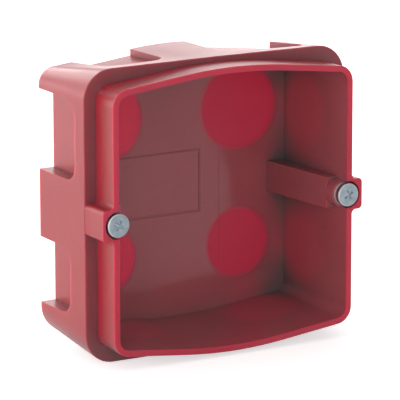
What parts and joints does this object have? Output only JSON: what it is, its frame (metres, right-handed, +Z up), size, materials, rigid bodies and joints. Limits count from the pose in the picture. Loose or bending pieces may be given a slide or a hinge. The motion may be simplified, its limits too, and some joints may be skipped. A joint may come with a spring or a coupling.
{
  "type": "flush back box",
  "caption": "Moulded plastic flush back box with a bowed rim, a lugged outer skirt and a pair of cross-head screws for a wiring device",
  "frame": {"origin": "in the plane of the front rim, midway between the two device screws", "axes": "+X to the right seen from the front, +Y from the opening to the back, +Z up"},
  "size_m": [0.068, 0.0304, 0.0676],
  "materials": {
    "red_plastic": "glossy moulded polypropylene, slightly translucent",
    "zinc_plate": "zinc plated, blue passivated"
  },
  "bodies": {
    "root": {"back_box": "red_plastic", "left_screw": "zinc_plate", "right_screw": "zinc_plate"}
  },
  "joints": []
}
